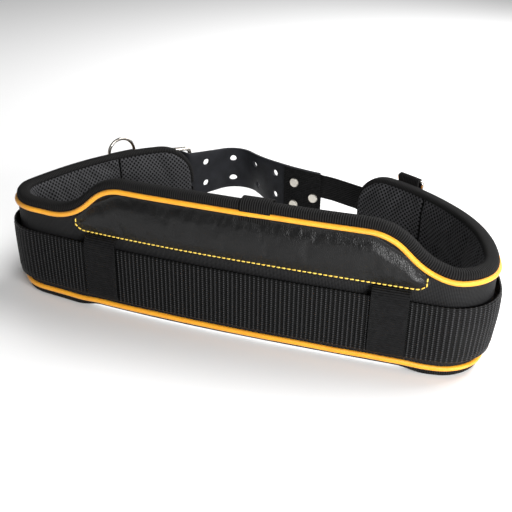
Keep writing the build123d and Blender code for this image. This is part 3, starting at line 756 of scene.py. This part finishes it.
patch_us = along(-PATCH_HALF, PATCH_HALF, 1.6)
patch_vs = [i / 26 for i in range(27)]
points, faces, flats = slab(patch_us, patch_vs, patch_face, lambda dx, v: patch_point(dx, v, 0.9))
patch = new_object(
    "lumbar_patch_cover", points, faces, flats, FINISH["patch"],
    ["lumbar_patch", "patch_foam"]
)
count = len(patch_us) * len(patch_vs)
pinned = list(range(count, 2 * count))
for i, dx in enumerate(patch_us):
    for j, v in enumerate(patch_vs):
        if seam_distance(dx, v) < PATCH_SEAM:
            pinned.append(i * len(patch_vs) + j)
inflate(patch, pinned, 2.5, 3.0, shrink=-0.004, bending=3.0, frames=18)
for i, dx in enumerate(patch_us):
    for j, v in enumerate(patch_vs):
        inside = smooth((seam_distance(dx, v) - PATCH_SEAM) / 5)
        crinkle = ripple(dx, v * 12, 5.0, 6.6) + 0.5 * ripple(dx, v * 24, 3.0, 2.2)
        crinkle *= smooth((dx - 70) / 50) * inside
        fold = 0.4 * inside * ripple(dx, v * 30, 30.0, 9.1)
        shove = outward_way(MIDDLE + dx) * (0.45 * crinkle + fold) * MM
        patch.data.vertices[i * len(patch_vs) + j].co += shove
patch.modifiers.new("finer", "SUBSURF").levels = 1


def stitches(name, spots, length, radius, material, replaced):
    """Small capsules lying along a line of (point, direction, outward) in millimetres."""
    points, faces, flats = [], [], []
    for at, way, out in spots:
        up = way.cross(out).normalized()
        rings = []
        for part, size in ((-0.5, 0.35), (-0.36, 0.9), (0.0, 1.0), (0.36, 0.9), (0.5, 0.35)):
            centre = at + way * part * length + out * radius * (0.55 - 1.6 * part * part)
            ring = []
            for k in range(6):
                a = 2 * math.pi * k / 6
                ring.append(centre + (up * math.cos(a) + out * math.sin(a)) * radius * size)
            rings.append(ring)
        more, quads = loft(rings)
        base = len(points)
        points += more
        faces += [tuple(base + k for k in quad) for quad in quads]
    return new_object(name, points, faces, flats, material, replaced)


def spaced(path, pitch):
    """(point, direction) every pitch along a polyline of Vectors."""
    found, carry = [], pitch / 2
    for a, b in zip(path, path[1:]):
        length = (b - a).length
        while carry < length:
            found.append((a.lerp(b, carry / length), (b - a) / length))
            carry += pitch
        carry -= length
    return found


line = []
inset = 2.4
for dx in along(-PATCH_HALF + inset, PATCH_HALF - inset, 1.5):
    low, high = patch_span(dx)
    line.append((dx, low + inset))
left_top = patch_span(-PATCH_HALF + inset)[1] - 1.0
rise = [(-PATCH_HALF + inset, z) for z in along(line[0][1], max(left_top, line[0][1] + 2), 2.0)]
fall = [(PATCH_HALF - inset, z) for _, z in rise]
line = rise[::-1] + line[1:-1] + fall
path = [on_pad(MIDDLE + dx, 2.0, z) for dx, z in line]
spots = [(at, way, outward_way(MIDDLE)) for at, way in spaced(path, 4.2)]
stitches("patch_stitches", spots, 3.3, 0.62, FINISH["thread"], ["patch_stitching"])

# ---- Webbing -------------------------------------------------------------------------------------

def on_web(w, offset, height):
    """A point on the main webbing: w from the heel bar, along the free run and then along the pad."""
    if w < WEB_RUN:
        return place(LEFT_WEB, w, offset, height)
    return on_pad(WEB_LEAVES + w - WEB_RUN, WEB_OFFSET + offset, height)


def web_rib(w, z, height=0.55):
    """A narrow raised rib across the webbing, which stops before the smooth edges."""
    phase = (w / RIB) % 1.0 - 0.5
    edge = smooth((z - WEB_LOW - 4.2) / 1.2) * smooth((WEB_HIGH - 2.4 - z) / 1.2)
    return height * math.exp(-((phase / 0.15) ** 2)) * edge


def web_drift(w, z):
    return 0.5 * ripple(w, z * 0.4, 45.0, 5.5) * smooth((w - 60) / 40)


def web_half(w):
    """Half the webbing's thickness: doubled where its hem lies in the chape."""
    return 1.0 + 1.2 * smooth((HEM_END - w) / 3)


WEB_TOTAL = WEB_RUN + PAD_LENGTH - WEB_SHORT - WEB_LEAVES
web_us = along(WEB_FROM_HEEL, WEB_TOTAL, RIB / 7)
web_vs = [0, 0.5, 2, 4.2, 4.8, 5.4, 6, 10, 16, 22, 28, 34, 40, 44.5, 46.4, 47, 47.6, 49.5, 50]
web_vs = [WEB_LOW + v for v in web_vs]


def web_face(w, z):
    soft = 0.35 if z in (WEB_LOW, WEB_HIGH) else 0.0
    return on_web(w, web_half(w) - soft + web_rib(w, z) + web_drift(w, z), z)


def web_back(w, z):
    soft = 0.35 if z in (WEB_LOW, WEB_HIGH) else 0.0
    return on_web(w, -web_half(w) + soft + web_drift(w, z), z)


points, faces, flats = slab(web_us, web_vs, web_face, web_back)
new_object("main_webbing_band", points, faces, flats, FINISH["webbing"], ["main_webbing"])

KEEPER_AT = 124.0
KEEPER_HALF = 14.75
KEEPER_LINE = [(76.6, 0.9), (75.6, 3.2), (73.8, 5.6), (71.2, 7.2), (68.0, 7.8), (62.0, 8.0), (54, 8.1)]
KEEPER_LINE += [(43, 8.1), (32, 8.1), (24, 7.9), (20.0, 7.3), (17.8, 5.4), (16.9, 3.0), (16.6, 0.9)]


def band_loft(name, line, thick, first, last, put, material, replaced, step=3.0, drift=0.0):
    """A strip whose middle line of (height, offset) is given, between two distances."""
    offsets = []
    for i, here in enumerate(line):
        before, after = line[max(0, i - 1)], line[min(len(line) - 1, i + 1)]
        way = Vector((after[0] - before[0], after[1] - before[1])).normalized()
        offsets.append(Vector((way[1], -way[0])) * thick / 2)
    ring = [Vector(p) + o for p, o in zip(line, offsets)]
    ring += [Vector(p) - o for p, o in reversed(list(zip(line, offsets)))]
    girth = [0.0]
    for a, b in zip(ring, ring[1:]):
        girth.append(girth[-1] + (b - a).length)
    sections, flats = [], []
    for s in [first + 0.0, first + 0.5] + along(first + 1.5, last - 1.5, step) + [last - 0.5, last]:
        section = []
        for z, o in ring:
            section.append(put(s, o + drift * ripple(s, z, 16.0, 4.4), z))
        sections.append(section)
        flats += [(s, g) for g in girth]
    points, faces = loft(sections)
    return new_object(name, points, faces, flats, material, replaced)


for name, middle in (("left_keeper", MIDDLE - KEEPER_AT), ("right_keeper", MIDDLE + KEEPER_AT)):
    first, last = middle - KEEPER_HALF, middle + KEEPER_HALF
    band_loft(f"{name}_band", KEEPER_LINE, 1.5, first, last, on_pad, FINISH["keeper"],
              [name], drift=0.4)

STRAP_LOW = 42.5
STRAP_HIGH = 67.5
STRAP_TUCK = 60
strap_vs = [STRAP_LOW + v for v in (0, 0.5, 2, 6.5, 12.5, 18.5, 23, 24.5, 25)]


def strap_point(w, offset, z):
    """The link strap: along the pad's end, then on the closure's curve."""
    if w < 0:
        return on_pad(PAD_LENGTH + w, STRAP_OFFSET + offset, z)
    return place(CLOSURE, w, offset, z)


def strap_side(sign):
    def surface(w, z):
        edge = 0.3 if z in (STRAP_LOW, STRAP_HIGH) else 0.0
        return strap_point(w, sign * (1.0 - edge), z)

    return surface


points, faces, flats = slab(along(-STRAP_TUCK, STRAP_END, 3.0), strap_vs, strap_side(1), strap_side(-1))
new_object("link_strap_band", points, faces, flats, FINISH["keeper"], ["link_strap"])


def tab_side(sign):
    def surface(w, z):
        edge = 0.3 if z in (WEB_LOW, WEB_HIGH) else 0.0
        rib = -0.3 + 0.3 * math.exp(-((((w / 3.1) % 1.0 - 0.5) / 0.22) ** 2))
        return place(CLOSURE, w, sign * (1.0 - edge + rib), z)

    return surface


points, faces, flats = slab(along(STRAP_END, TAB_END, 0.52), web_vs, tab_side(1), tab_side(-1))
new_object("web_tab_band", points, faces, flats, FINISH["keeper"], ["web_tab"])

# ---- Ring loops and hang loop --------------------------------------------------------------------

RING_OUT = 6.2
LOOP_BEND = 2.35
LOOP_HALF = 11.5
LOOP_LOW = 72.4
LEFT_RING = ("left_ring_loop", 74.0, 85.0)
RIGHT_RING = ("right_ring_loop", PAD_LENGTH - 52.0, 92.0)
arch = [math.radians(a) for a in range(0, 181, 20)]
for name, s, ring_z in (LEFT_RING, RIGHT_RING):
    line = [(LOOP_LOW, RING_OUT - LOOP_BEND + 1.4), (ring_z - 12, RING_OUT - 0.2)]
    line += [(ring_z - 6, RING_OUT + LOOP_BEND - 1.0)]
    line += [(ring_z + LOOP_BEND * math.sin(a), RING_OUT + LOOP_BEND * math.cos(a)) for a in arch]
    line += [(ring_z - 8, RING_OUT - LOOP_BEND), (LOOP_LOW, RING_OUT - LOOP_BEND)]
    band_loft(f"{name}_band", line, 1.3, s - LOOP_HALF, s + LOOP_HALF, on_pad, FINISH["tape"],
              [name], step=2.0)

HANG_FROM = MIDDLE + 1
HANG_TO = MIDDLE + 26
HANG_LINE = [(110, 1.9), (116, 2.0), (122, 2.1), (126.5, 1.4), (129.0, -0.6), (130.0, -3.4), (130.1, -6.0)]
HANG_LINE += [(129.8, -8.8), (128.6, -12.0), (125.6, -13.8), (121, -14.4), (114, -14.2)]
band_loft("hang_loop_band", HANG_LINE, 1.2, HANG_FROM, HANG_TO, on_pad, FINISH["tape"],
          ["hang_loop"], step=2.0)

# ---- Billet --------------------------------------------------------------------------------------

BILLET_START = STRAP_END + 3
BILLET_LENGTH = CLOSURE_END + TAIL_END
HOLE_RADIUS = 3.65
HOLE_OFF = 12.5
FIRST_HOLES = 14.8
HOLE_PITCH = 33.25
TIP_RADIUS = 13
TIP_START = BILLET_LENGTH - TIP_RADIUS


def on_billet(b, offset, z):
    """A point on the leather billet, which leans inward at its top half way along."""
    part = clamp((b - TAB_END) / (CLOSURE_END - TAB_END))
    lean = -5.5 * math.sin(math.pi * part) ** 2 * (z - WEB_MIDDLE) / 25
    if b < CLOSURE_END:
        return place(CLOSURE, b, BILLET_MID + offset + lean, z)
    return place(TAIL, b - CLOSURE_END, offset, z)


hole_places = [TAB_END + FIRST_HOLES + HOLE_PITCH * k for k in range(7)]
holes = [(place, WEB_MIDDLE + h) for place in hole_places for h in (HOLE_OFF, -HOLE_OFF)]
rim = [(BILLET_START, WEB_LOW), (BILLET_START, WEB_HIGH)]
tip = [(TIP_START + TIP_RADIUS * math.sin(a), WEB_HIGH - TIP_RADIUS + TIP_RADIUS * math.cos(a))
       for a in [math.radians(15 * k) for k in range(7)]]
rim += [(b, WEB_HIGH) for b in along(BILLET_START, TIP_START, 1.2)[1:-1]]
rim += tip + [(b, WEB_LOW + WEB_HIGH - z) for b, z in reversed(tip)]
rim += [(b, WEB_LOW) for b in reversed(along(BILLET_START, TIP_START, 1.2)[1:-1])]
flat_points = [Vector(p) for p in rim]
edges = [(i, (i + 1) % len(rim)) for i in range(len(rim))]
for centre in holes:
    base = len(flat_points)
    for k in range(20):
        a = 2 * math.pi * k / 20
        spot = (centre[0] + HOLE_RADIUS * math.cos(a), centre[1] + HOLE_RADIUS * math.sin(a))
        flat_points.append(Vector(spot))
    edges += [(base + k, base + (k + 1) % 20) for k in range(20)]
for b in along(BILLET_START, BILLET_LENGTH, 1.2)[1:-1]:
    for z in along(WEB_LOW, WEB_HIGH, 4.2)[1:-1]:
        clear = all(math.dist((b, z), centre) > HOLE_RADIUS + 0.9 for centre in holes)
        if clear and (b < TIP_START or abs(z - WEB_MIDDLE) < 12):
            flat_points.append(Vector((b, z)))
found = geometry.delaunay_2d_cdt(flat_points, edges, [], 0, 1e-5)
flat_verts, triangles = found[0], found[2]
kept = []
for triangle in triangles:
    middle = sum((flat_verts[i] for i in triangle), Vector((0, 0))) / 3
    in_hole = any((middle - Vector(centre)).length < HOLE_RADIUS * 0.97 for centre in holes)
    past_tip = middle[0] > TIP_START and (
        abs(middle[1] - WEB_MIDDLE) > 12
        and math.dist((TIP_START, 12), (middle[0], abs(middle[1] - WEB_MIDDLE))) > TIP_RADIUS
    )
    if not in_hole and not past_tip:
        kept.append(tuple(triangle))
count = len(flat_verts)
points = [on_billet(p[0], BILLET_THICK / 2, p[1]) for p in flat_verts]
points += [on_billet(p[0], -BILLET_THICK / 2, p[1]) for p in flat_verts]
flats = [(p[0], p[1]) for p in flat_verts] * 2
uses = {}
for triangle in kept:
    for a, b in zip(triangle, triangle[1:] + triangle[:1]):
        uses[(a, b)] = True
faces = [tuple(t) for t in kept] + [tuple(count + i for i in reversed(t)) for t in kept]
faces += [(b, a, count + a, count + b) for a, b in uses if (b, a) not in uses]
billet = new_object("billet_strap", points, faces, flats, FINISH["billet"], ["billet"])
bevel = billet.modifiers.new("soft_edge", "BEVEL")
bevel.width = 0.5 * MM
bevel.segments = 2
bevel.limit_method = "ANGLE"
bevel.angle_limit = math.radians(55)

# ---- CAD nodes that keep their shape -------------------------------------------------------------


def finish_node(name, material, bevel_width=0.0):
    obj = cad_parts[name]
    obj.data.materials.clear()
    obj.data.materials.append(material)
    if bevel_width:
        soft = obj.modifiers.new("soft_edge", "BEVEL")
        soft.width = bevel_width * MM
        soft.segments = 2
        soft.limit_method = "ANGLE"
        soft.angle_limit = math.radians(50)


for name in ("left_d_ring", "right_d_ring", "buckle_frame", "buckle_roller", "prong_upper", "prong_lower"):
    finish_node(name, FINISH["nickel"])
for name in ("billet_rivets", "rivet_burrs", "chape_rivets"):
    finish_node(name, FINISH["rivet"], 0.4)
for name in ("chape", "tail_keeper"):
    finish_node(name, FINISH["billet"], 0.4)

# ---- Camera, floor and light ---------------------------------------------------------------------

CAMERA_AT = Vector((0.2069, -0.6772, 0.3822))
CAMERA_HEADING = math.radians(-18.15)
CAMERA_PITCH = math.radians(27.59)
CAMERA_ROLL = math.radians(0.9)
CAMERA_WAY = Vector((math.sin(CAMERA_HEADING), math.cos(CAMERA_HEADING), -math.tan(CAMERA_PITCH)))
camera_data = bpy.data.cameras.new("camera")
camera_data.lens = 57.1
camera_data.sensor_width = 36
camera = bpy.data.objects.new("camera", camera_data)
camera.location = CAMERA_AT
facing = CAMERA_WAY.to_track_quat("-Z", "Y").to_matrix()
camera.rotation_euler = (facing @ Matrix.Rotation(CAMERA_ROLL, 3, "Z")).to_euler()
SCENE.collection.objects.link(camera)
SCENE.camera = camera

floor_mesh = bpy.data.meshes.new("floor")
FLOOR_HALF = 6
FLOOR_Z = -0.0005
corners = [(-1, -1), (1, -1), (1, 1), (-1, 1)]
corners = [(x * FLOOR_HALF, y * FLOOR_HALF, FLOOR_Z) for x, y in corners]
floor_mesh.from_pydata(corners, [], [(0, 1, 2, 3)])
floor = bpy.data.objects.new("floor", floor_mesh)
SCENE.collection.objects.link(floor)
floor_finish = Finish("pale_floor", (0.93, 0.93, 0.93), 0.9)
floor_mesh.materials.append(floor_finish.material)

world = bpy.data.worlds.new("studio")
SCENE.world = world
world.use_nodes = True
world.node_tree.nodes["Background"].inputs["Color"].default_value = (1, 1, 1, 1)
world.node_tree.nodes["Background"].inputs["Strength"].default_value = 0.22


def soft_box(name, at, target, size, power):
    light = bpy.data.lights.new(name, "AREA")
    light.shape = "RECTANGLE"
    light.size, light.size_y = size
    light.energy = power
    obj = bpy.data.objects.new(name, light)
    obj.location = at
    obj.rotation_euler = (Vector(target) - Vector(at)).to_track_quat("-Z", "Y").to_euler()
    SCENE.collection.objects.link(obj)


soft_box("key", (0.95, -0.95, 0.42), (0.12, -0.1, 0.07), (0.75, 0.5), 28)
soft_box("top", (0.5, 0.5, 1.2), (0, 0, 0.05), (1.1, 0.8), 22)
soft_box("rear", (0.5, 1.0, 0.7), (0, 0, 0.06), (0.9, 0.5), 8)
SCENE.view_settings.view_transform = "Standard"
